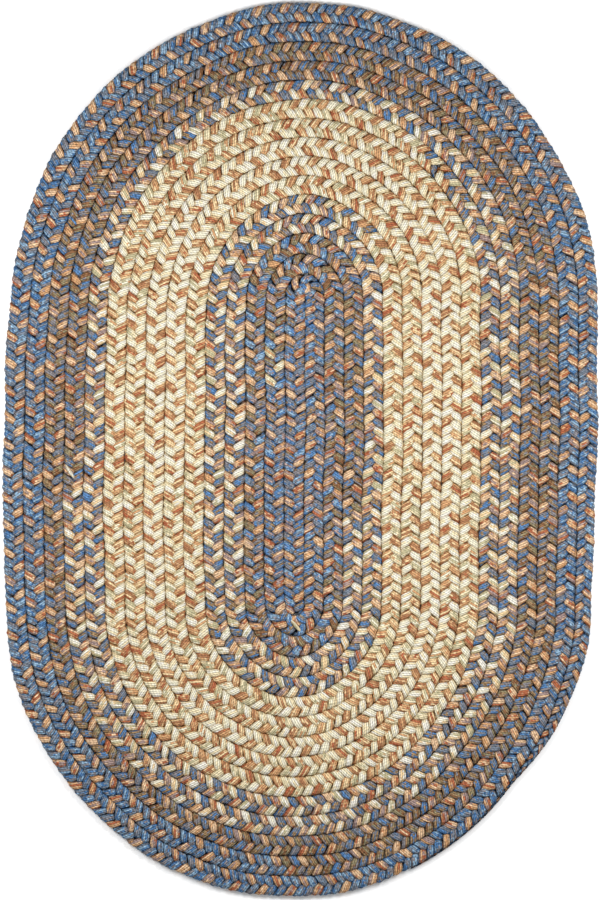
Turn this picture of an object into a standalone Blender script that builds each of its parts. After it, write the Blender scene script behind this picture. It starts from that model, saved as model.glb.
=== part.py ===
"""A braided rug: one flat braid wound round a straight core into an oval and sewn edge to edge.

Metres, +Z up. X runs across the rug and Y along it. It lies on its flat underside, at Z = 0, and the
origin is the centre of its bounding box there. The top keeps one low ridge for each row of the braid.
"""

import math

import bmesh
import bpy
from mathutils import Vector

# Driving dimensions, in metres unless a name says otherwise.
TURNS = 15  # rows from the core to the edge, on each side
CORE_LENGTH = 0.3207  # the straight seam that the first row is folded round
CORE_LEAN = 0.0017  # how much further to the left the core's lower end lies
THICKNESS = 0.010
GROOVE_HEIGHT = 0.0066  # the top at a seam between two rows
EDGE_HEIGHT = 0.0050  # where the outermost row is widest
UNDERCUT = 0.0030  # how far the flat underside stops short of the edge
ROW_WIDTH_LEFT = 0.0206  # half way along the left side
ROW_WIDTH_TOP_LEFT = 0.0201  # where the left side meets the top end
ROW_WIDTH_TOP = 0.0197
ROW_WIDTH_TOP_RIGHT = 0.0200
ROW_WIDTH_RIGHT = 0.02005
ROW_WIDTH_BOTTOM_RIGHT = 0.0198
ROW_WIDTH_BOTTOM_LEFT = 0.0204
POINT = 0.0021  # how far the middle of an end reaches out of round
POINT_ROWS = 3  # the innermost rows are less and less pointed
TAIL_STATIONS = 5  # stations of the last end in which the braid tapers to nothing
TAIL_START_SHARE = 0.84  # the last row's width where the taper starts, from full half an end before

# How finely the ridges are drawn.
SIDE_STATIONS = 5
END_STATIONS = 20
ACROSS = (0.0, 0.24, 0.76, 1.0)  # seam, two shoulders and the next seam, as shares of a row
MERGE_DISTANCE = 0.00005
CREASE_ANGLE = math.radians(50)  # edges sharper than this stay sharp when the rug is shaded smooth

STATIONS = 2 * (SIDE_STATIONS + END_STATIONS)
LAST = (TURNS - 1) * STATIONS + 2 * SIDE_STATIONS + END_STATIONS + TAIL_STATIONS

YARN_COLOUR = (0.36, 0.33, 0.27, 1.0)  # the strands' mean colour, linear
YARN_ROUGHNESS = 0.9


def mix(low, high, share):
    return low + (high - low) * share


def side_width(first_width, middle_width, last_width, share):
    """The width of a row part of the way along a straight side."""
    return mix(mix(first_width, last_width, share), middle_width, math.sin(math.pi * share))


def top_width(share):
    """The width of a row part of the way round the top end."""
    near_side = (1 - math.sin(math.pi * share)) ** 4
    return mix(ROW_WIDTH_TOP, mix(ROW_WIDTH_TOP_LEFT, ROW_WIDTH_TOP_RIGHT, share), near_side)


def bottom_width(share):
    """The width of a row part of the way round the bottom end. It changes before half way."""
    eased = min(1.0, max(0.0, share * 3 - 0.5))
    return mix(ROW_WIDTH_BOTTOM_RIGHT, ROW_WIDTH_BOTTOM_LEFT, eased**2 * (3 - 2 * eased))


def end_point(centre, rows, width, angle, share):
    """A point round an end, which is a little pointed in its middle and flatter beside it."""
    point = -POINT * math.sin(math.pi * share) * math.sin(3 * math.pi * share)
    radius = rows * width + point * min(1.0, rows / POINT_ROWS)
    return centre + radius * Vector((math.cos(angle), math.sin(angle), 0))


def core_point(share):
    """A point on the core, from its lower end (0) to its upper end (1)."""
    return Vector((mix(-CORE_LEAN, 0, share), mix(-0.5, 0.5, share) * CORE_LENGTH, 0))


def stretch_of(station):
    """The turn, the stretch (left, top, right or bottom) and the share of it that a station lies at."""
    turn, step = divmod(station, STATIONS)
    for stretch, steps in (
        ("left", SIDE_STATIONS),
        ("top", END_STATIONS),
        ("right", SIDE_STATIONS),
        ("bottom", END_STATIONS),
    ):
        if step < steps:
            return turn, stretch, step / steps
        step -= steps


def tail_share(station):
    """How much of its full width the last row keeps: 1 up to the last side, and 0 at the tail's tip."""
    tail_first = LAST - TAIL_STATIONS
    if station <= tail_first:
        down_side = (station - tail_first + SIDE_STATIONS) / SIDE_STATIONS
        return mix(1.0, TAIL_START_SHARE, max(0.0, down_side))
    return TAIL_START_SHARE * (LAST - station) / TAIL_STATIONS


def ridge_point(station, across):
    """A point of the top seen from above, part of the way across the row that passes this station."""
    turn, stretch, share = stretch_of(station)
    rows = turn + across * tail_share(station)
    if stretch == "left":
        width = side_width(ROW_WIDTH_BOTTOM_LEFT, ROW_WIDTH_LEFT, ROW_WIDTH_TOP_LEFT, share)
        return core_point(share) - Vector((rows * width, 0, 0))
    if stretch == "right":
        width = side_width(ROW_WIDTH_TOP_RIGHT, ROW_WIDTH_RIGHT, ROW_WIDTH_BOTTOM_RIGHT, share)
        return core_point(1 - share) + Vector((rows * width, 0, 0))
    if stretch == "top":
        return end_point(core_point(1), rows, top_width(share), math.pi * (1 - share), share)
    # Half a row to the left, each turn passes from one row to the next one out.
    width = bottom_width(share)
    centre = core_point(0) - Vector((width / 2, 0, 0))
    return end_point(centre, rows + 0.5, width, -math.pi * share, share)


def ridge_height(station, column):
    """The height of the top at one column of ACROSS."""
    if column in (1, 2):
        return mix(EDGE_HEIGHT, THICKNESS, tail_share(station) ** 0.5)
    if column == 0:
        return GROOVE_HEIGHT if station < LAST else EDGE_HEIGHT
    return EDGE_HEIGHT


def add_top_points(bm):
    """Points by station and column. The last column is the next turn's first, or the rug's edge."""
    points = {}
    for station in range(LAST + 1):
        for column, across in enumerate(ACROSS[:-1]):
            place = ridge_point(station, across)
            place.z = ridge_height(station, column)
            points[station, column] = bm.verts.new(place)
    edge_column = len(ACROSS) - 1
    for station in range(LAST + 1):
        if station + STATIONS <= LAST:
            points[station, edge_column] = points[station + STATIONS, 0]
        else:
            place = ridge_point(station, ACROSS[-1])
            place.z = ridge_height(station, edge_column)
            points[station, edge_column] = bm.verts.new(place)
    return points


def add_top_faces(bm, points):
    """The ridges, and the half round at the core where the braid starts."""
    for station in range(LAST):
        for column in range(len(ACROSS) - 1):
            bm.faces.new(
                (
                    points[station, column],
                    points[station + 1, column],
                    points[station + 1, column + 1],
                    points[station, column + 1],
                )
            )
    start = [points[0, column] for column in range(len(ACROSS))]
    first_bend = [points[STATIONS - step, 0] for step in range(1, END_STATIONS)]
    bm.faces.new(start + first_bend)


def add_underside(bm):
    """Draws the outer edge down and in to the flat underside, and closes it."""
    rim = [edge for edge in bm.edges if edge.is_boundary]
    half_width = max(vert.co.x for edge in rim for vert in edge.verts)
    half_length = max(vert.co.y for edge in rim for vert in edge.verts)
    made = bmesh.ops.extrude_edge_only(bm, edges=rim)["geom"]
    foot = [part for part in made if isinstance(part, bmesh.types.BMVert)]
    for vert in foot:
        vert.co.x *= 1 - UNDERCUT / half_width
        vert.co.y *= 1 - UNDERCUT / half_length
        vert.co.z = 0
    sole = [edge for edge in bm.edges if edge.is_boundary]
    bmesh.ops.contextual_create(bm, geom=sole)


def centre_on_origin(bm):
    """Moves the bounding box's centre over the origin."""
    low = Vector(min(vert.co[axis] for vert in bm.verts) for axis in range(2))
    high = Vector(max(vert.co[axis] for vert in bm.verts) for axis in range(2))
    middle = (low + high) / 2
    bmesh.ops.translate(bm, verts=bm.verts, vec=(-middle.x, -middle.y, 0))


def yarn_material():
    material = bpy.data.materials.new("braided_yarn")
    material.use_nodes = True
    shader = material.node_tree.nodes["Principled BSDF"]
    shader.inputs["Base Color"].default_value = YARN_COLOUR
    shader.inputs["Roughness"].default_value = YARN_ROUGHNESS
    shader.inputs["Metallic"].default_value = 0.0
    return material


def build_rug():
    bm = bmesh.new()
    points = add_top_points(bm)
    add_top_faces(bm, points)
    bmesh.ops.remove_doubles(bm, verts=bm.verts, dist=MERGE_DISTANCE)
    centre_on_origin(bm)
    add_underside(bm)
    bmesh.ops.recalc_face_normals(bm, faces=bm.faces)
    mesh = bpy.data.meshes.new("braided_rug")
    bm.to_mesh(mesh)
    bm.free()
    mesh.materials.append(yarn_material())
    mesh.shade_smooth()
    mesh.set_sharp_from_angle(angle=CREASE_ANGLE)
    rug = bpy.data.objects.new("braided_rug", mesh)
    bpy.context.collection.objects.link(rug)
    return rug


def main():
    for old in list(bpy.data.objects):
        bpy.data.objects.remove(old, do_unlink=True)
    build_rug()


main()
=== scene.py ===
"""A braided rug, drawn as its three plied strands, with a plain studio round it.

It is laid out as an add-on and run as a script. The strands follow the middle of the same spiral as the
rug's solid: up the left side, round the top, down the right side and round the bottom, one row further
out with each turn. Metres, +Z up.
"""

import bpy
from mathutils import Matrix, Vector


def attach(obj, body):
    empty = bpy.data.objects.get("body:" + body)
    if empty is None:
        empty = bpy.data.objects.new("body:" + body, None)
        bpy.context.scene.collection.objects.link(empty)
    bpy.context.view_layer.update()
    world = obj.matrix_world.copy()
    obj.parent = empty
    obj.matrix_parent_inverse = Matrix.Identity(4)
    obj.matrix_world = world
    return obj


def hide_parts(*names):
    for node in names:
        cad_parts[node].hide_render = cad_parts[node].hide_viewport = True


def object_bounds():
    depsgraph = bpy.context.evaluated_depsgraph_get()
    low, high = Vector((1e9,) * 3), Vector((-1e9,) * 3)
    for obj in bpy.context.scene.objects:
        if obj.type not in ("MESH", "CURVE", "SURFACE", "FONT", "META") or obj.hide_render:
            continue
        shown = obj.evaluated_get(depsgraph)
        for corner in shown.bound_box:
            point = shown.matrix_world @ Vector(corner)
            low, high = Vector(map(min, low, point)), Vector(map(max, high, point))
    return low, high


bl_info = {
    "name": "Braided rug",
    "version": (1, 0, 0),
    "blender": (4, 5, 0),
    "location": "3D View > Sidebar > Rug",
    "description": "Makes the strands of a braided oval rug and the studio that it is seen in",
    "category": "Object",
}

import math

import bmesh
import bpy
import numpy as np
from bpy.props import FloatProperty, FloatVectorProperty, IntProperty, PointerProperty
from mathutils import Vector

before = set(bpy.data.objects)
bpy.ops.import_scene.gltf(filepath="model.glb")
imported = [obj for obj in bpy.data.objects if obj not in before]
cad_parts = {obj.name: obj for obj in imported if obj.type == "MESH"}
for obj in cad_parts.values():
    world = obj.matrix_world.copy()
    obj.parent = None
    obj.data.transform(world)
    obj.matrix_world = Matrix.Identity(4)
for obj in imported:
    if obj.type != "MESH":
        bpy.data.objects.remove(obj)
CAD_LOW, CAD_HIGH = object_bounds()

RUG_NODE = "braided_rug"
BODY = "root"
STRAND_UV = "strand"
EDGE_LAYER = "edge"

TURNS = 15  # rows of braid from the core to the edge, on each side
QUARTER = 0.25  # of a turn: one side or one end
END_ANGLE = 180  # degrees round an end
FULL_CIRCLE = 2 * math.pi
MERGE_DISTANCE = 1e-6

FULL_LIGHT = 1.7  # how much brighter than white paper the lights make the middle of the floor

# Dyes of the yarn, by name, as 0 to 255 for red, green and blue, as they look in full light.
DYES = {
    "navy": (86, 128, 176),
    "blue": (98, 140, 190),
    "sky": (152, 184, 210),
    "slate": (128, 138, 152),
    "ash": (146, 142, 146),
    "mauve": (174, 150, 144),
    "moss": (156, 144, 112),
    "taupe": (166, 136, 100),
    "umber": (146, 104, 72),
    "rust": (190, 112, 78),
    "brown": (184, 130, 92),
    "copper": (222, 170, 122),
    "apricot": (242, 204, 164),
    "straw": (255, 238, 196),
    "cream": (255, 248, 220),
    "sand": (252, 220, 170),
    "white": (255, 250, 236),
    "sage": (206, 196, 156),
}

# Each kind of strand is plied from yarns of four dyes, the first of them the commonest.
STRAND_YARNS = {
    "navy": ("navy", "sky", "slate", "ash"),
    "blue": ("blue", "sky", "slate", "mauve"),
    "slate": ("slate", "ash", "blue", "taupe"),
    "taupe": ("taupe", "moss", "ash", "umber"),
    "orange": ("apricot", "copper", "mauve", "rust"),
    "tan": ("copper", "sand", "brown", "rust"),
    "cream": ("cream", "white", "straw", "cream"),
    "sage": ("straw", "sage", "cream", "copper"),
    "white": ("white", "sand", "sage", "cream"),
}

# How mottled each kind is, from long streaks (0) to short flecks (1), how rough its fibres look, and how
# fast red, green and blue fall off in its painted crease shade, which is painted warm among the pale
# rows.
COOL_DARK = (1.8, 1.65, 1.5)
PLAIN_DARK = (1.4, 1.55, 1.65)
WARM_DARK = (0.35, 0.6, 0.95)
STRAND_LOOKS = {
    "navy": (0.9, 3.0, COOL_DARK),
    "blue": (0.9, 3.0, COOL_DARK),
    "slate": (0.9, 3.0, COOL_DARK),
    "taupe": (0.8, 3.0, PLAIN_DARK),
    "orange": (0.4, 2.4, PLAIN_DARK),
    "tan": (0.4, 1.8, WARM_DARK),
    "cream": (0.5, 1.0, WARM_DARK),
    "sage": (0.45, 1.4, WARM_DARK),
    "white": (0.35, 1.2, WARM_DARK),
}

# The strands, and where along the spiral, in turns, each is joined to the next kind.
STRANDS = ("cool", "soft", "warm")
STRAND_RUNS = {
    "warm": (
        ("orange", 1.177),
        ("sage", 1.209),
        ("orange", 4.4),
        ("tan", 9.45),
        ("orange", TURNS),
    ),
    "cool": (("blue", 2.5), ("slate", 4.45), ("cream", 9.43), ("slate", 12.9), ("navy", TURNS)),
    "soft": (
        ("slate", 1.19),
        ("taupe", 2.68),
        ("white", 4.45),
        ("sage", 6.1),
        ("cream", 7.7),
        ("sage", 9.45),
        ("white", 11.12),
        ("taupe", 12.9),
        ("navy", TURNS),
    ),
}

# Short loose ends that lie on top of the braid: where each starts and ends, and its yarn.
LOOSE_ENDS = {
    "inner": ((-0.010, -0.174), (0.001, -0.187), "sage"),
    "outer": ((-0.241, -0.015), (-0.232, -0.029), "white"),
}

# The braid is made in two lengths, so that no piece's mesh is too heavy.
LENGTHS_MEET = 9.44  # turns
LENGTHS = (("inner", 0, LENGTHS_MEET), ("outer", LENGTHS_MEET, TURNS))
SEEDS_APART = 10  # keeps the unevenness of one length apart from the other's


def linear(colour):
    """A colour of 0 to 255 in full light as the linear reflectances that shaders take.

    The numbers are those of the usual sRGB curve.
    """
    shares = np.array(colour) / 255
    values = np.where(shares <= 0.04045, shares / 12.92, ((shares + 0.055) / 1.055) ** 2.4)
    return tuple(values / FULL_LIGHT)


def dye_property(name):
    return FloatVectorProperty(
        name=name.capitalize(),
        description=f"Colour of the yarn dyed {name}",
        subtype="COLOR",
        size=3,
        min=0,
        max=1,
        default=linear(DYES[name]),
    )


class RugDyes(bpy.types.PropertyGroup):
    """The colours of the yarns."""

    __annotations__ = {name: dye_property(name) for name in DYES}


class RugSizes(bpy.types.PropertyGroup):
    """The sizes of the spiral and of its braid."""

    core_length: FloatProperty(
        name="Core length",
        description="Length of the straight seam that the first row is folded round",
        default=0.3207,
        unit="LENGTH",
    )
    core_lean: FloatProperty(
        name="Core lean",
        description="How much further to the left the core's lower end lies",
        default=0.0017,
        unit="LENGTH",
    )
    row_left: FloatProperty(
        name="Row on the left",
        description="Width of a row half way along the left side",
        default=0.0206,
        unit="LENGTH",
    )
    row_top_left: FloatProperty(
        name="Row at the top left",
        description="Width of a row where the left side meets the top end",
        default=0.0201,
        unit="LENGTH",
    )
    row_top: FloatProperty(
        name="Row at the top",
        description="Width of a row round the top end",
        default=0.0197,
        unit="LENGTH",
    )
    row_top_right: FloatProperty(
        name="Row at the top right",
        description="Width of a row where the top end meets the right side",
        default=0.0200,
        unit="LENGTH",
    )
    row_right: FloatProperty(
        name="Row on the right",
        description="Width of a row half way along the right side",
        default=0.02005,
        unit="LENGTH",
    )
    row_bottom_right: FloatProperty(
        name="Row at the bottom right",
        description="Width of a row where the right side meets the bottom end",
        default=0.0198,
        unit="LENGTH",
    )
    row_bottom_left: FloatProperty(
        name="Row at the bottom left",
        description="Width of a row where the bottom end meets the left side",
        default=0.0204,
        unit="LENGTH",
    )
    point: FloatProperty(
        name="Point",
        description="How far the middle of an end reaches out of round",
        default=0.0021,
        unit="LENGTH",
    )
    plait_length: FloatProperty(
        name="Plait length",
        description="Length of braid in which a strand crosses over and comes back",
        default=0.0278,
        unit="LENGTH",
    )
    strand_width: FloatProperty(
        name="Strand width",
        description="Width of a strand where it lies flat",
        default=0.0084,
        unit="LENGTH",
    )
    strand_depth: FloatProperty(
        name="Strand depth",
        description="Thickness of a strand where it lies flat",
        default=0.0054,
        unit="LENGTH",
    )
    stations: IntProperty(
        name="Stations",
        description="Rings of points along a strand in each plait",
        default=15,
        min=8,
    )
    ring_points: IntProperty(
        name="Ring points",
        description="Points round a strand",
        default=12,
        min=8,
    )


class RugStudio(bpy.types.PropertyGroup):
    """The floor, the lights and the camera."""

    camera_height: FloatProperty(
        name="Camera height",
        description="Height of the camera over the floor",
        default=4.0,
        unit="LENGTH",
    )
    view_length: FloatProperty(
        name="View length",
        description="Length of floor that the camera sees",
        default=0.9238,
        unit="LENGTH",
    )
    side_power: FloatProperty(
        name="Side lights",
        description="Power of each of the two soft lights, in watts",
        default=5.65,
    )
    sky_strength: FloatProperty(
        name="Sky strength",
        description="Strength of the even light from all round",
        default=0.5,
    )
    floor_tone: FloatProperty(
        name="Floor tone",
        description="Reflectance of the plain floor",
        default=0.95,
        min=0,
        max=1,
        subtype="FACTOR",
    )

# The spiral

POINT_ROWS = 3  # the innermost rows are less and less pointed
TOP_EVENNESS = 4  # the higher, the sooner a row takes its top width past a side
TAIL_FROM = TURNS - QUARTER  # the last row tapers round the bottom
TAIL_START_SHARE = 0.84  # of its full width, where the tail starts
TAIL_ANGLE = 42.0  # degrees of the end in which it narrows
TAIL_POWER = 1.8  # slowly at first
TAIL_END_ANGLE = 66.0  # degrees at which its last yarns end
TAIL_THIN = 0.13  # share of its full width that the last yarns keep
TAIL_THIN_FROM = 1.4  # times that at the start of the tail, and one less at its tip
SPIRAL_END = TAIL_FROM + QUARTER * TAIL_END_ANGLE / END_ANGLE
EDGE_FROM = TAIL_FROM - 1 + QUARTER * TAIL_ANGLE / END_ANGLE  # from here the braid is the rug's edge

SPIRAL_POINTS = 16000  # points at which the spiral is worked out
OUTLINE_POINTS = 2000  # and those of its outline
SPIRAL_STEP = 0.001
SOFTEN_REACH = 4  # steps
START_LENGTH = 0.009  # the start reaches this far below the first row

# How the rows drift as they were wound by hand: how far, in long waves and in short ones, and the
# radians of each drift's waves in a metre, along and across it, and where its long wave starts.
LONG_DRIFT = 0.0007
SHORT_DRIFT = 0.0005
DRIFT_IN_X = {"long": 31, "short": 57, "cross": 23, "start": 0.6}
DRIFT_IN_Y = {"long": 29, "short": 61, "cross": -19, "start": 1.9}


def mix(low, high, share):
    return low + (high - low) * share


def eased(share):
    """The share, kept within 0 and 1 and eased at both ends."""
    share = np.clip(share, 0, 1)
    return share**2 * (3 - 2 * share)


def running_length(points):
    """How far along a line of points each of them lies."""
    steps = np.linalg.norm(np.diff(points, axis=0), axis=1)
    return np.concatenate([[0], np.cumsum(steps)])


def left_side(sizes, rows, share):
    """A point on the left side, that many rows out from the core."""
    base = mix(sizes.row_bottom_left, sizes.row_top_left, share)
    width = mix(base, sizes.row_left, np.sin(np.pi * share))
    return -sizes.core_lean * (1 - share) - rows * width, (share - 0.5) * sizes.core_length


def right_side(sizes, rows, share):
    base = mix(sizes.row_top_right, sizes.row_bottom_right, share)
    width = mix(base, sizes.row_right, np.sin(np.pi * share))
    return rows * width - sizes.core_lean * share, (0.5 - share) * sizes.core_length


def end_radius(sizes, rows, width, share):
    """How far out a row lies round an end, which is a little pointed in its middle."""
    point = -sizes.point * np.sin(np.pi * share) * np.sin(3 * np.pi * share)
    return rows * width + point * np.minimum(1, rows / POINT_ROWS)


def top_end(sizes, rows, share):
    near_side = (1 - np.sin(np.pi * share)) ** TOP_EVENNESS
    width = mix(sizes.row_top, mix(sizes.row_top_left, sizes.row_top_right, share), near_side)
    radius = end_radius(sizes, rows, width, share)
    angle = np.pi * (1 - share)
    return radius * np.cos(angle), sizes.core_length / 2 + radius * np.sin(angle)


def bottom_end(sizes, rows, share):
    """Half a row to the left of the core, each turn passes here from one row to the next one out.

    The row changes its width between a sixth and a half of the way round.
    """
    width = mix(sizes.row_bottom_right, sizes.row_bottom_left, eased(share * 3 - 0.5))
    radius = end_radius(sizes, rows + 0.5, width, share)
    angle = -np.pi * share
    x = radius * np.cos(angle) - sizes.core_lean - width / 2
    return x, radius * np.sin(angle) - sizes.core_length / 2


STRETCHES = (left_side, top_end, right_side, bottom_end)  # the four quarters of a turn


def row_place(sizes, turn_at, across):
    """Where a row lies, seen from above.

    turn_at counts turns from the start of the braid, and across runs from the row's inner seam (0) to
    its outer one (1). Both may be arrays.
    """
    turn = np.floor(turn_at)
    quarter = np.floor((turn_at - turn) / QUARTER)
    share = (turn_at - turn) / QUARTER - quarter
    places = [stretch(sizes, turn + across, share) for stretch in STRETCHES]
    chosen = [quarter == number for number in range(len(STRETCHES))]
    return np.stack([np.select(chosen, values) for values in zip(*places)], axis=-1)


def tail_share(turn_at):
    """How much of its full width the braid keeps: 1 everywhere but in the last side and the tail."""
    down_side = mix(1, TAIL_START_SHARE, (turn_at - TAIL_FROM) / QUARTER + 1)
    angle = (turn_at - TAIL_FROM) / QUARTER * END_ANGLE
    narrowed = (np.clip(angle, 0, TAIL_ANGLE) / TAIL_ANGLE) ** TAIL_POWER
    narrowing = TAIL_START_SHARE * (1 - narrowed)
    ending = TAIL_THIN * (TAIL_THIN_FROM - angle / TAIL_END_ANGLE)
    tail = np.maximum(narrowing, ending)
    return np.clip(np.minimum(down_side, np.where(angle > 0, tail, 1)), 0, 1)


def outline_middle(sizes):
    """The middle of the box round the last full turn of the spiral."""
    last_turn = np.linspace(TAIL_FROM - 1, TAIL_FROM, OUTLINE_POINTS, endpoint=False)
    outline = row_place(sizes, last_turn, tail_share(last_turn))
    return (outline.min(0) + outline.max(0)) / 2


def soften(values, reach):
    """The values with each one the mean of its neighbours within reach, and the ends kept."""
    padded = np.pad(values, reach, mode="reflect", reflect_type="odd")
    return np.convolve(padded, np.ones(2 * reach + 1) / (2 * reach + 1), mode="valid")


def row_drift(along, across, waves):
    """A small smooth drift, nearly the same for neighbouring rows."""
    long_drift = LONG_DRIFT * np.sin(along * waves["long"] + waves["start"])
    return long_drift + SHORT_DRIFT * np.sin(along * waves["short"] + across * waves["cross"])


def drifted(x, y):
    """A place with the drift of the rows there."""
    return x + row_drift(y, x, DRIFT_IN_X), y + row_drift(x, y, DRIFT_IN_Y)


class Spiral:
    """The middle of the braid, as even steps along it, in the frame of the rug's solid."""

    def __init__(self, sizes):
        turn_at = np.linspace(0, SPIRAL_END, SPIRAL_POINTS)
        share = tail_share(turn_at)
        cad_middle = (CAD_LOW + CAD_HIGH) / 2
        points = row_place(sizes, turn_at, 0.5 * share)
        points = points - outline_middle(sizes) + np.array([cad_middle.x, cad_middle.y])
        seam, next_seam = (row_place(sizes, turn_at, across) for across in (0, 1))
        width = np.linalg.norm(next_seam - seam, axis=1)
        along = running_length(points)
        self.at = np.arange(-START_LENGTH, along[-1], SPIRAL_STEP)
        below = np.minimum(self.at, 0)
        self.x = soften(np.interp(self.at, along, points[:, 0]), SOFTEN_REACH)
        self.y = soften(np.interp(self.at, along, points[:, 1]) + below, SOFTEN_REACH)
        self.turn = np.interp(self.at, along, turn_at)
        self.width = np.interp(self.at, along, width)
        self.share = np.interp(self.at, along, share)
        self.heading = np.unwrap(np.arctan2(np.gradient(self.y), np.gradient(self.x)))

    def read(self, values, at):
        """One of the spiral's rows of values, at places along the braid."""
        return np.interp(at, self.at, values)

    def at_turn(self, turn):
        """How far along the braid a turn is reached."""
        return float(np.interp(turn, self.turn, self.at))


# The strands

CROSSING_SHARPNESS = 0.08  # straightens a strand's way from the middle to the edge
MIDDLE_DIP = 0.0014  # how much lower a strand comes up in the middle of the braid
MIDDLE_NARROWING = 0.10  # and how much narrower it is drawn there
MIDDLE_SHORTNESS = 6  # the higher, the shorter that middle
UNDERSIDE_SPREAD = 0.25  # how much wider it is pressed where it passes underneath
ROLL_SHARPNESS = 0.35  # how long a strand lies flat before it rolls over the edge
EDGE_INSET = 0.37  # how far a strand's middle keeps from the row's edge, in strand depths
LEAST_SWEEP = 0.0004  # metres, where the braid is thinnest
LEAST_HALF_ROW = 0.0001
RISE = 0.47  # how far it goes up and down, in strand depths
BRAID_MIDDLE = 0.96  # height of the braid's middle, in strand depths
SECTION_POWER = 2.3  # 2 is an ellipse, and more is a flatter oval
OVAL_POINTS = 721  # points at which that oval is worked out
END_ROUND = 0.004  # the last stretch of a strand, which rounds off
LEAST_ROUND = 0.03
START_ROUND = 0.0102  # radius of the first bend, which the tucked start fills
START_SIZE = 0.6  # of a strand's full size, where it starts
OPEN_FROM = 0.3  # how far out of the row's middle its open edge begins, in half widths of the row
OPEN_OVER = 0.4  # and how much further out it is wholly open
FLOOR_GAP = 0.00005
UP = (0.0, 0.0, 1.0)

# How uneven the braid is, and in how many places in each plait.
TURN_WANDER = 0.11  # radians that a crossing is early or late
SWEEP_WANDER = 0.045
RISE_WANDER = 0.08
WIDTH_WANDER = 0.07
CROSSING_WANDERS = 3
WIDTH_WANDERS = 2

LOOSE_STATIONS = 14
LOOSE_HEIGHT = 0.0086  # a loose end's tips, and how much higher its middle is
LOOSE_ARCH = 0.0012
LOOSE_WIDTH = 0.0036
LOOSE_DEPTH = 0.0030
LOOSE_TIP = 0.03  # how blunt its tips are


def wander(random, count, spacing, size):
    """Soft random values for that many stations, with a new one every so many stations."""
    knots = random.normal(0, size, int(count / spacing) + 3)
    return np.interp(np.arange(count) / spacing, np.arange(len(knots)), knots)


class StrandPath:
    """The way of one strand between two places along the braid, and what its rings need."""

    def __init__(self, sizes, spiral, phase, first, last, random):
        count = int(round((last - first) / sizes.plait_length * sizes.stations)) + 1
        self.at = np.linspace(first, last, count)
        self.heading = spiral.read(spiral.heading, self.at)
        spacing = sizes.stations / CROSSING_WANDERS
        turn_angle = FULL_CIRCLE * self.at / sizes.plait_length + phase
        self.turn_angle = turn_angle + wander(random, count, spacing, TURN_WANDER)
        self.middle = np.abs(np.cos(self.turn_angle)) ** MIDDLE_SHORTNESS
        self.opening = np.sqrt(1 - (np.minimum(self.at, 0) / START_ROUND) ** 2)
        share = spiral.read(spiral.share, self.at)
        self.size = share**0.5 * mix(START_SIZE, 1.0, self.opening)
        self.half_row = spiral.read(spiral.width, self.at) / 2 * share * self.opening
        self.depth = sizes.strand_depth * self.size
        self.across = self.sideways(wander(random, count, spacing, SWEEP_WANDER))
        self.rise = self.up_and_down(wander(random, count, spacing, RISE_WANDER))
        spacing = sizes.stations / WIDTH_WANDERS
        self.width = self.spread(sizes, wander(random, count, spacing, WIDTH_WANDER))
        self.height = sizes.strand_depth * BRAID_MIDDLE + self.rise
        self.outermost = spiral.read(spiral.turn, self.at) > EDGE_FROM
        self.x = spiral.read(spiral.x, self.at) - self.across * np.sin(self.heading)
        self.y = spiral.read(spiral.y, self.at) + self.across * np.cos(self.heading)

    def sideways(self, unevenness):
        """How far the strand lies to the left of the braid's middle."""
        sweep = np.maximum(self.half_row - EDGE_INSET * self.depth, LEAST_SWEEP)
        sweep = sweep * (1 + unevenness)
        across = np.sin(self.turn_angle) - CROSSING_SHARPNESS * np.sin(3 * self.turn_angle)
        return sweep * across / (1 + CROSSING_SHARPNESS)

    def up_and_down(self, unevenness):
        """How far it lies above the braid's middle."""
        rise = (RISE * self.depth) * np.sin(2 * self.turn_angle)
        rise = rise * (1 + unevenness)
        return rise - MIDDLE_DIP * self.size * self.middle

    def spread(self, sizes, unevenness):
        """How wide it is: drawn in where it comes up in the middle, and pressed wider underneath."""
        below = np.maximum(0, -np.sin(2 * self.turn_angle))
        change = 1 - MIDDLE_NARROWING * self.middle + UNDERSIDE_SPREAD * below
        width = sizes.strand_width * self.size * change
        return width * (1 + unevenness)

    def line(self):
        """Its middle line, with the rows' drift."""
        x, y = drifted(self.x, self.y)
        return np.stack([x, y, self.height], axis=1)

    def face(self):
        """Which way its flat side faces: up where it passes over, and rolled at the row's edges."""
        roll = np.cos(self.turn_angle) * (1 + ROLL_SHARPNESS * np.sin(self.turn_angle) ** 2)
        roll = 0.5 * np.pi * (1 - roll)
        level = np.zeros(len(self.at))
        side = np.stack([-np.sin(self.heading), np.cos(self.heading), level], axis=1)
        return np.sin(roll)[:, None] * side + np.cos(roll)[:, None] * np.array(UP)

    def rounding(self):
        """How full it is, as it rounds off at both ends of its length."""
        to_end = np.minimum(self.at - self.at[0], self.at[-1] - self.at)
        return np.sqrt(np.clip(to_end / END_ROUND, LEAST_ROUND, 1))

    def edge(self):
        """How much of it lies on the rug's open outer edge, where the painted crease shade is lifted."""
        outwards = self.across / np.maximum(self.half_row, LEAST_HALF_ROW)
        return self.outermost * eased((outwards - OPEN_FROM) / OPEN_OVER)


def oval_ring(flatness, count):
    """Even steps round a flattened oval, as shares of its half width and of its half depth."""
    angle = np.linspace(0, FULL_CIRCLE, OVAL_POINTS)
    wide = np.sign(np.cos(angle)) * np.abs(np.cos(angle)) ** (2 / SECTION_POWER)
    deep = np.sign(np.sin(angle)) * np.abs(np.sin(angle)) ** (2 / SECTION_POWER)
    steps = np.hypot(np.diff(wide) * flatness, np.diff(deep))
    along = np.concatenate([[0], np.cumsum(steps)])
    even = np.linspace(0, along[-1], count + 1)
    return np.interp(even, along, wide), np.interp(even, along, deep)


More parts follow.
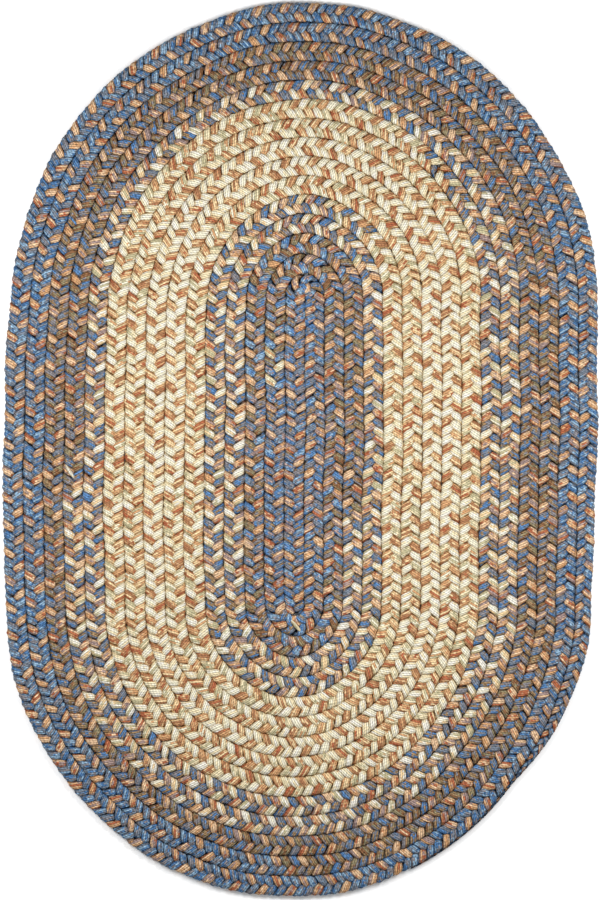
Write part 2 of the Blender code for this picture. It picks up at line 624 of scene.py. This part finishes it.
def tube_rings(line, face, width, depth, ring_points):
    """Points of a flattened tube round a line, by station and place round it."""
    along = np.gradient(line, axis=0)
    along /= np.linalg.norm(along, axis=1, keepdims=True)
    face = face - (face * along).sum(1, keepdims=True) * along
    face /= np.linalg.norm(face, axis=1, keepdims=True)
    wide = np.cross(along, face)
    ring_wide, ring_deep = oval_ring(np.mean(width / depth), ring_points)
    return (
        line[:, None]
        + (width / 2)[:, None, None] * ring_wide[None, :, None] * wide[:, None]
        + (depth / 2)[:, None, None] * ring_deep[None, :, None] * face[:, None]
    )


def lay_on_floor(rings):
    """Flattens what would reach into the floor."""
    rings[..., 2] = np.maximum(rings[..., 2], FLOOR_GAP)
    return rings


def flat_grid(name, stations, around):
    """A flat grid with a map, ready to be rolled up into a tube."""
    bm = bmesh.new()
    bm.loops.layers.uv.new(STRAND_UV)
    segments = {"x_segments": stations - 1, "y_segments": around - 1}
    bmesh.ops.create_grid(bm, **segments, size=0.5, calc_uvs=True)
    mesh = bpy.data.meshes.new(name)
    bm.to_mesh(mesh)
    bm.free()
    return mesh


def read_floats(elements, key, size):
    """A value of every element of a mesh, as rows of that many numbers."""
    values = np.empty(len(elements) * size, np.float32)
    elements.foreach_get(key, values)
    return values.reshape(-1, size)


def wrap_grid(name, rings, edge):
    """A tube through rings of points, from a grid that is rolled up, with a map along it.

    edge tells how much each ring is on the rug's open outer edge.
    """
    stations, around = rings.shape[:2]
    mesh = flat_grid(name, stations, around)
    grid = read_floats(mesh.vertices, "co", 3) + 0.5
    station = np.rint(grid[:, 0] * (stations - 1)).astype(int)
    place = np.rint(grid[:, 1] * (around - 1)).astype(int) % (around - 1)
    mesh.vertices.foreach_set("co", rings[station, place].astype(np.float32).ravel())
    edge_layer = mesh.attributes.new(EDGE_LAYER, "FLOAT", "POINT")
    edge_layer.data.foreach_set("value", edge[station].astype(np.float32))
    stretch_map(mesh, rings)
    return mesh


def stretch_map(mesh, rings):
    """Gives the map the tube's own length, in metres."""
    length = running_length(rings[:, :-1].mean(axis=1))
    layer = mesh.uv_layers[STRAND_UV].data
    uv = read_floats(layer, "uv", 2)
    station = np.rint(uv[:, 0] * (len(rings) - 1)).astype(int)
    uv[:, 0] = length[station]
    layer.foreach_set("uv", uv.ravel())


def close_tube(mesh):
    """Joins the rolled grid's two long edges, caps its ends and turns its faces out."""
    bm = bmesh.new()
    bm.from_mesh(mesh)
    seam = [vert for vert in bm.verts if vert.is_boundary]
    bmesh.ops.remove_doubles(bm, verts=seam, dist=MERGE_DISTANCE)
    rims = [edge for edge in bm.edges if edge.is_boundary]
    bmesh.ops.holes_fill(bm, edges=rims, sides=0)
    bmesh.ops.recalc_face_normals(bm, faces=bm.faces)
    bm.to_mesh(mesh)
    bm.free()


def paint_runs(mesh, spiral, strand, at, materials):
    """Gives each face the yarn of the run that it lies in."""
    kinds = [kind for kind, _ in STRAND_RUNS[strand]]
    ends = [spiral.at_turn(end) for _, end in STRAND_RUNS[strand]]
    for kind in kinds:
        mesh.materials.append(materials[kind])
    starts = np.empty(len(mesh.polygons), np.int32)
    mesh.polygons.foreach_get("loop_start", starts)
    length = read_floats(mesh.uv_layers[STRAND_UV].data, "uv", 2)[starts, 0]
    place = mix(at[0], at[-1], length / length.max())
    run = np.minimum(np.searchsorted(ends, place), len(kinds) - 1)
    mesh.polygons.foreach_set("material_index", run.astype(np.int32))


def add_piece(name, mesh):
    """The mesh as a piece that stands for the rug's solid and moves with it."""
    mesh.shade_smooth()
    piece = bpy.data.objects.new(name, mesh)
    bpy.context.scene.collection.objects.link(piece)
    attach(piece, BODY)
    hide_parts(RUG_NODE)
    return piece


def make_strand(name, sizes, spiral, strand, first, last, materials, seed):
    """One strand between two places along the braid, as a closed tube."""
    phase = -FULL_CIRCLE * STRANDS.index(strand) / len(STRANDS)
    path = StrandPath(sizes, spiral, phase, first, last, np.random.default_rng(seed))
    width, depth = path.width * path.rounding(), path.depth * path.rounding()
    rings = lay_on_floor(tube_rings(path.line(), path.face(), width, depth, sizes.ring_points))
    mesh = wrap_grid(name, rings, path.edge())
    close_tube(mesh)
    paint_runs(mesh, spiral, strand, path.at, materials)
    return add_piece(name, mesh)


def make_loose_end(name, sizes, start, end, material):
    """A short end of a strand, which lies on the braid and rounds off at both its tips."""
    share = np.linspace(0, 1, LOOSE_STATIONS)
    bulge = np.sqrt(np.sin(np.pi * mix(LOOSE_TIP, 1 - LOOSE_TIP, share)))
    places = [mix(first, last, share) for first, last in zip(start, end)]
    line = np.stack([*places, LOOSE_HEIGHT + LOOSE_ARCH * np.sin(np.pi * share)], axis=1)
    face = np.tile(UP, (LOOSE_STATIONS, 1))
    rings = tube_rings(line, face, LOOSE_WIDTH * bulge, LOOSE_DEPTH * bulge, sizes.ring_points)
    mesh = wrap_grid(name, rings, np.ones(LOOSE_STATIONS))
    close_tube(mesh)
    mesh.materials.append(material)
    return add_piece(name, mesh)


# The yarn's material

DYE_SOCKETS = ("Main", "Second", "Third", "Fleck")
YARNS_ROUND = 10  # yarns round a strand
YARN_TWIST = 24.0  # yarns that pass a point of the strand's side in each metre of it
LANE_STEP = 5.37  # how far apart in the noise two yarns lie
STREAKS = 14.0  # long changes of dye in each metre of a yarn
FLECKS = 260.0  # short ones
FLECK_LAYER = 3.1  # keeps them apart from the streaks

# How high the noise is where each further dye of a yarn begins and is full. The higher, the rarer.
SECOND_RANGE = (0.48, 0.56)
THIRD_RANGE = (0.54, 0.60)
FLECK_RANGE = (0.60, 0.65)

PLY_LENGTH = 0.0024  # in which the two plies of a yarn go once round each other
PLY_LEAN = 2.0  # radians by which they slant across half a yarn
PLY_SHIFT = 1.7  # radians between one yarn's plies and the next one's
FIBRE_MARKS = 520.0  # light and dark marks of the fibres in each metre of a strand
FIBRE_LANES = 14.0  # and round it

# Painted shade: darkest deep between the strands and at a strand's two edges, and lifted on the rug's
# open outer edge.
MID_HEIGHT = 0.0052  # half way up the braid, where painted shade is darkest, deep between the strands
CROWN_RISE = 0.0030  # how far above or below that they are painted in full light
PIT_PAINTED_SHADE = 0.10
RIM_FROM = 0.80  # where round the strand its edge starts to be painted darker
RIM_PAINTED_SHADE = 0.74  # painted shade at the two edges of a flat strand
YARN_GAP_PAINTED_SHADE = 0.24  # painted shade between two yarns, and how much lighter the middle of a yarn is painted
YARN_MIDDLE_PAINTED_LIGHT = 1.0
PLY_GAP_PAINTED_SHADE = 0.82  # painted shade between two plies, and how much lighter the middle of a ply is painted
PLY_MIDDLE_PAINTED_LIGHT = 0.36
LEAST_GRAIN = 0.2
OVER_ONE = 1.001  # a little over 1, so that no root is taken of less than nothing

PLY_RELIEF = 0.35  # heights in the bump, with a yarn's own as 1
FIBRE_RELIEF = 0.6
YARN_RELIEF = 0.0006  # metres
BUMP_STRENGTH = 0.9
YARN_ROUGHNESS = 0.78
FIBRE_ROUGHNESS = 0.2  # added where the fibres stand up
DULL = 0.1  # how little yarn and floor shine
SEED_STEP = 11.0  # keeps the noise of one kind of strand apart from the next


def add_node(tree, kind, inputs=(), **settings):
    """A node with its settings, and with inputs by name or number set or linked."""
    node = tree.nodes.new(kind)
    for key, value in settings.items():
        setattr(node, key, value)
    for key, value in dict(inputs).items():
        if isinstance(value, bpy.types.NodeSocket):
            tree.links.new(value, node.inputs[key])
        else:
            node.inputs[key].default_value = value
    return node


def maths(tree, operation, *values):
    node = add_node(tree, "ShaderNodeMath", enumerate(values), operation=operation)
    return node.outputs[0]


def vector_maths(tree, operation, first, second):
    """The same with three values at a time. To SCALE takes a single value as its second."""
    inputs = {0: first, "Scale" if operation == "SCALE" else 1: second}
    node = add_node(tree, "ShaderNodeVectorMath", inputs, operation=operation)
    return node.outputs[0]


def blend(tree, share, first, second):
    node = add_node(tree, "ShaderNodeMix", {0: share, 6: first, 7: second}, data_type="RGBA")
    return node.outputs[2]


def ramp(tree, value, low, high):
    """The value as a share of the way from low to high, eased at both ends."""
    inputs = {"Value": value, "From Min": low, "From Max": high}
    node = add_node(tree, "ShaderNodeMapRange", inputs, interpolation_type="SMOOTHSTEP")
    return node.outputs["Result"]


def noise(tree, x, y, z, detail):
    """Soft random values at a place given by three values."""
    place = add_node(tree, "ShaderNodeCombineXYZ", {0: x, 1: y, 2: z})
    inputs = {"Vector": place.outputs[0], "Scale": 1.0, "Detail": detail}
    return add_node(tree, "ShaderNodeTexNoise", inputs)


def yarn_position(tree, along, around):
    """Which yarn of the strand a point is on, and how far across it, from -1 to 1."""
    twist = maths(tree, "MULTIPLY", along, YARN_TWIST)
    position = maths(tree, "MULTIPLY_ADD", around, YARNS_ROUND, twist)
    yarn = maths(tree, "FLOORED_MODULO", maths(tree, "FLOOR", position), YARNS_ROUND)
    across = maths(tree, "MULTIPLY_ADD", maths(tree, "FRACT", position), 2.0, -1.0)
    return yarn, across


def dyed_colour(tree, given, along, yarn):
    """The dye of a yarn, in long streaks with short flecks over them."""
    lane = maths(tree, "MULTIPLY_ADD", yarn, LANE_STEP, given["Seed"])
    streaks = noise(tree, maths(tree, "MULTIPLY", along, STREAKS), lane, given["Seed"], detail=1.0)
    flecks = noise(tree, maths(tree, "MULTIPLY", along, FLECKS), lane, FLECK_LAYER, detail=0.0)
    less_half = vector_maths(tree, "SUBTRACT", flecks.outputs["Color"], (0.5, 0.5, 0.5))
    scaled = vector_maths(tree, "SCALE", less_half, given["Mottle"])
    both = vector_maths(tree, "ADD", streaks.outputs["Color"], scaled)
    choices = add_node(tree, "ShaderNodeSeparateXYZ", {0: both}).outputs
    colour = blend(tree, ramp(tree, choices[0], *SECOND_RANGE), given["Main"], given["Second"])
    colour = blend(tree, ramp(tree, choices[1], *THIRD_RANGE), colour, given["Third"])
    return blend(tree, ramp(tree, choices[2], *FLECK_RANGE), colour, given["Fleck"])


def yarn_round(tree, across):
    """How high a yarn stands across its own width: 1 in its middle."""
    edge = maths(tree, "MULTIPLY", across, across)
    return maths(tree, "SQRT", maths(tree, "SUBTRACT", OVER_ONE, edge))


def ply_round(tree, along, yarn, across):
    """How high the plies of a yarn stand, from 0 to 1."""
    lean = maths(tree, "MULTIPLY", across, PLY_LEAN)
    ply_turn = maths(tree, "MULTIPLY_ADD", along, FULL_CIRCLE / PLY_LENGTH, lean)
    ply_turn = maths(tree, "MULTIPLY_ADD", yarn, PLY_SHIFT, ply_turn)
    return maths(tree, "MULTIPLY_ADD", maths(tree, "SINE", ply_turn), 0.5, 0.5)


def fibre_marks(tree, given, along, around):
    """The light and dark marks of the fibres, from 0 to 1."""
    lengthwise = maths(tree, "MULTIPLY", along, FIBRE_MARKS)
    sideways = maths(tree, "MULTIPLY", around, FIBRE_LANES)
    return noise(tree, lengthwise, sideways, given["Seed"], detail=2.0).outputs["Fac"]


def yarn_shade_and_grain(tree, given, roundness, ply, fibre):
    """Painted shade in the gaps between yarns and between plies, with their middles painted lighter,
    over the fibres' own light and dark grain.
    """
    tone = maths(tree, "MULTIPLY_ADD", roundness, YARN_MIDDLE_PAINTED_LIGHT, YARN_GAP_PAINTED_SHADE)
    tone = maths(tree, "MULTIPLY", tone, maths(tree, "MULTIPLY_ADD", ply, PLY_MIDDLE_PAINTED_LIGHT, PLY_GAP_PAINTED_SHADE))
    grain = maths(tree, "MULTIPLY_ADD", maths(tree, "SUBTRACT", fibre, 0.5), given["Grain"], 1.0)
    return maths(tree, "MULTIPLY", tone, maths(tree, "MAXIMUM", grain, LEAST_GRAIN))


def painted_crease_shade(tree, place, around, edge):
    """Painted shade: how light a point is painted, dark deep between the strands, and darker at a
    strand's edges.
    """
    height = add_node(tree, "ShaderNodeSeparateXYZ", {0: place}).outputs[2]
    rise = maths(tree, "ABSOLUTE", maths(tree, "SUBTRACT", height, MID_HEIGHT))
    crown = maths(tree, "MAXIMUM", ramp(tree, rise, 0.0, CROWN_RISE), edge)
    depth_painted_shade = maths(tree, "MULTIPLY_ADD", crown, 1 - PIT_PAINTED_SHADE, PIT_PAINTED_SHADE)
    rim = maths(tree, "COSINE", maths(tree, "MULTIPLY", around, FULL_CIRCLE))
    rim = ramp(tree, maths(tree, "ABSOLUTE", rim), RIM_FROM, 1.0)
    rim_painted_shade = maths(tree, "MULTIPLY_ADD", rim, RIM_PAINTED_SHADE - 1, 1.0)
    return maths(tree, "MULTIPLY", depth_painted_shade, rim_painted_shade)


def fall_into_painted_shade(tree, colour, tone, shade, falloff):
    """The colour in its tone under the painted shade, whose red, green and blue each fall off in their
    own way.
    """
    powers = add_node(tree, "ShaderNodeSeparateXYZ", {0: falloff}).outputs
    falls = [maths(tree, "POWER", shade, power) for power in powers]
    shades = add_node(tree, "ShaderNodeCombineXYZ", enumerate(falls)).outputs[0]
    toned = vector_maths(tree, "SCALE", colour, tone)
    return vector_maths(tree, "MULTIPLY", toned, shades)


def add_sockets(group):
    """The inputs and outputs of the yarn's group."""
    face = group.interface
    for name in ("Strand", "Place", "Falloff"):
        face.new_socket(name, in_out="INPUT", socket_type="NodeSocketVector")
    for name in DYE_SOCKETS:
        face.new_socket(name, in_out="INPUT", socket_type="NodeSocketColor")
    for name in ("Mottle", "Grain", "Seed", "Edge"):
        face.new_socket(name, in_out="INPUT", socket_type="NodeSocketFloat")
    face.new_socket("Color", in_out="OUTPUT", socket_type="NodeSocketColor")
    for name in ("Height", "Roughness"):
        face.new_socket(name, in_out="OUTPUT", socket_type="NodeSocketFloat")


def plied_yarn_group():
    """Yarns laid side by side round a strand, each plied and dyed in streaks of four colours, with
    painted shade between yarns, between plies and deep between strands.
    """
    group = bpy.data.node_groups.new("plied_yarn", "ShaderNodeTree")
    add_sockets(group)
    given = group.nodes.new("NodeGroupInput").outputs
    along, around, _ = add_node(group, "ShaderNodeSeparateXYZ", {0: given["Strand"]}).outputs
    yarn, across = yarn_position(group, along, around)
    colour = dyed_colour(group, given, along, yarn)
    roundness = yarn_round(group, across)
    ply = ply_round(group, along, yarn, across)
    fibre = fibre_marks(group, given, along, around)
    # Painted shade between yarns and plies, over the fibres' grain.
    tone = yarn_shade_and_grain(group, given, roundness, ply, fibre)
    # Painted shade deep between the strands and at their edges.
    shade = painted_crease_shade(group, given["Place"], around, given["Edge"])
    # The painted shade falls off warm or cool by kind of strand.
    colour = fall_into_painted_shade(group, colour, tone, shade, given["Falloff"])
    height = maths(group, "MULTIPLY_ADD", ply, PLY_RELIEF, roundness)
    height = maths(group, "MULTIPLY_ADD", fibre, FIBRE_RELIEF, height)
    roughness = maths(group, "MULTIPLY_ADD", fibre, FIBRE_ROUGHNESS, YARN_ROUGHNESS)
    outputs = {"Color": colour, "Height": height, "Roughness": roughness}
    add_node(group, "NodeGroupOutput", outputs)
    return group


def strand_material(kind, dyes, group, seed):
    """A strand of yarns in four dyes."""
    material = bpy.data.materials.new("yarn_" + kind)
    material.use_nodes = True
    tree = material.node_tree
    mottle, grain, falloff = STRAND_LOOKS[kind]
    given = {
        "Strand": add_node(tree, "ShaderNodeUVMap", uv_map=STRAND_UV).outputs["UV"],
        "Edge": add_node(tree, "ShaderNodeAttribute", attribute_name=EDGE_LAYER).outputs["Fac"],
        "Place": add_node(tree, "ShaderNodeTexCoord").outputs["Object"],
        "Mottle": mottle,
        "Grain": grain,
        "Falloff": falloff,
        "Seed": seed,
    }
    for socket, dye in zip(DYE_SOCKETS, STRAND_YARNS[kind]):
        given[socket] = (*getattr(dyes, dye), 1.0)
    yarn = add_node(tree, "ShaderNodeGroup", given, node_tree=group).outputs
    relief = {"Strength": BUMP_STRENGTH, "Distance": YARN_RELIEF, "Height": yarn["Height"]}
    bump = add_node(tree, "ShaderNodeBump", relief)
    shader = tree.nodes["Principled BSDF"]
    tree.links.new(yarn["Color"], shader.inputs["Base Color"])
    tree.links.new(yarn["Roughness"], shader.inputs["Roughness"])
    tree.links.new(bump.outputs["Normal"], shader.inputs["Normal"])
    shader.inputs["Specular IOR Level"].default_value = DULL
    return material


def make_materials(dyes):
    """A material for each kind of strand, all with the same group."""
    group = plied_yarn_group()
    return {
        kind: strand_material(kind, dyes, group, SEED_STEP * (number + 1))
        for number, kind in enumerate(STRAND_YARNS)
    }


# The braid


def make_length(part, sizes, spiral, materials):
    """One of the braid's two lengths: its three strands and the loose end that lies on it."""
    length_name, start, end = LENGTHS[part]
    first = spiral.at[0] if start == 0 else spiral.at_turn(start)
    last = spiral.at[-1] if end >= TURNS else spiral.at_turn(end)
    pieces = []
    for number, strand in enumerate(STRANDS):
        name = f"{strand}_strand_{length_name}"
        seed = SEEDS_APART * part + number
        pieces.append(make_strand(name, sizes, spiral, strand, first, last, materials, seed))
    loose_start, loose_end, yarn = LOOSE_ENDS[length_name]
    name = f"loose_end_{length_name}"
    pieces.append(make_loose_end(name, sizes, loose_start, loose_end, materials[yarn]))
    return pieces


class RUG_OT_make_braid(bpy.types.Operator):
    """Make the three strands of the braid, each in two lengths, and the loose end on each length"""

    bl_idname = "rug.make_braid"
    bl_label = "Make braid"

    def execute(self, context):
        sizes = context.scene.rug_sizes
        spiral = Spiral(sizes)
        materials = make_materials(context.scene.rug_dyes)
        for part in range(len(LENGTHS)):
            pieces = make_length(part, sizes, spiral, materials)
        return {"FINISHED"}


# The studio

FLOOR_REACH = 6.0  # metres from the middle of the floor to its sides
LIGHT_PLACE = (0.45, 0.07, 0.75)  # the right light, and the left one opposite
LIGHT_SIZE = (0.36, 0.36)
CAMERA_SIDE = -0.0007
SENSOR_WIDTH = 36.0  # millimetres
VIEW_REACH = 50.0  # metres that the camera sees
FLOOR_ROUGHNESS = 0.9


def floor_material(tone):
    material = bpy.data.materials.new("studio_floor")
    material.use_nodes = True
    shader = material.node_tree.nodes["Principled BSDF"]
    shader.inputs["Base Color"].default_value = (tone, tone, tone, 1.0)
    shader.inputs["Roughness"].default_value = FLOOR_ROUGHNESS
    shader.inputs["Specular IOR Level"].default_value = DULL
    return material


def make_floor(scene, tone):
    bm = bmesh.new()
    bmesh.ops.create_grid(bm, x_segments=1, y_segments=1, size=FLOOR_REACH)
    mesh = bpy.data.meshes.new("studio_floor")
    bm.to_mesh(mesh)
    bm.free()
    mesh.materials.append(floor_material(tone))
    floor = bpy.data.objects.new("studio_floor", mesh)
    scene.collection.objects.link(floor)


def add_light(scene, name, place, power):
    """A square soft light that is turned to the middle of the floor."""
    light = bpy.data.lights.new(name, "AREA")
    light.shape = "RECTANGLE"
    light.size, light.size_y = LIGHT_SIZE
    light.energy = power
    lamp = bpy.data.objects.new(name, light)
    lamp.location = place
    lamp.rotation_euler = (-Vector(place)).to_track_quat("-Z", "Y").to_euler()
    scene.collection.objects.link(lamp)


def make_sky(scene, strength):
    world = bpy.data.worlds.new("studio_sky")
    world.use_nodes = True
    sky = world.node_tree.nodes["Background"]
    sky.inputs["Color"].default_value = (1.0, 1.0, 1.0, 1.0)
    sky.inputs["Strength"].default_value = strength
    scene.world = world


def make_camera(scene, height, view_length):
    """A camera straight over the rug that sees that length of floor."""
    camera = bpy.data.cameras.new("studio_camera")
    camera.sensor_width = SENSOR_WIDTH
    camera.lens = camera.sensor_width * height / view_length
    camera.clip_end = VIEW_REACH
    holder = bpy.data.objects.new("studio_camera", camera)
    holder.location = (CAMERA_SIDE, 0, height)
    scene.collection.objects.link(holder)
    scene.camera = holder


class RUG_OT_make_stage(bpy.types.Operator):
    """Make the plain pale floor, the soft lights and the camera"""

    bl_idname = "rug.make_stage"
    bl_label = "Make stage"

    def execute(self, context):
        scene = context.scene
        studio = scene.rug_studio
        make_floor(scene, studio.floor_tone)
        for name, side in (("left_light", -1), ("right_light", 1)):
            place = (side * LIGHT_PLACE[0], *LIGHT_PLACE[1:])
            add_light(scene, name, place, studio.side_power)
        make_sky(scene, studio.sky_strength)
        make_camera(scene, studio.camera_height, studio.view_length)
        scene.view_settings.view_transform = "Standard"
        return {"FINISHED"}


class RUG_PT_sidebar(bpy.types.Panel):
    """The rug's sizes, dyes and studio, with a button for each step"""

    bl_idname = "RUG_PT_sidebar"
    bl_label = "Braided rug"
    bl_space_type = "VIEW_3D"
    bl_region_type = "UI"
    bl_category = "Rug"

    def draw(self, context):
        layout = self.layout
        for settings in (context.scene.rug_sizes, context.scene.rug_dyes, context.scene.rug_studio):
            box = layout.box()
            for name in settings.__annotations__:
                box.prop(settings, name)
        layout.operator(RUG_OT_make_stage.bl_idname)
        layout.operator(RUG_OT_make_braid.bl_idname)


CLASSES = (RugDyes, RugSizes, RugStudio, RUG_OT_make_stage, RUG_OT_make_braid, RUG_PT_sidebar)


def register():
    for kind in CLASSES:
        bpy.utils.register_class(kind)
    bpy.types.Scene.rug_sizes = PointerProperty(type=RugSizes)
    bpy.types.Scene.rug_dyes = PointerProperty(type=RugDyes)
    bpy.types.Scene.rug_studio = PointerProperty(type=RugStudio)


def unregister():
    del bpy.types.Scene.rug_studio
    del bpy.types.Scene.rug_dyes
    del bpy.types.Scene.rug_sizes
    for kind in reversed(CLASSES):
        bpy.utils.unregister_class(kind)


def main():
    register()
    bpy.ops.rug.make_stage()
    bpy.ops.rug.make_braid()


if __name__ == "__main__":
    main()
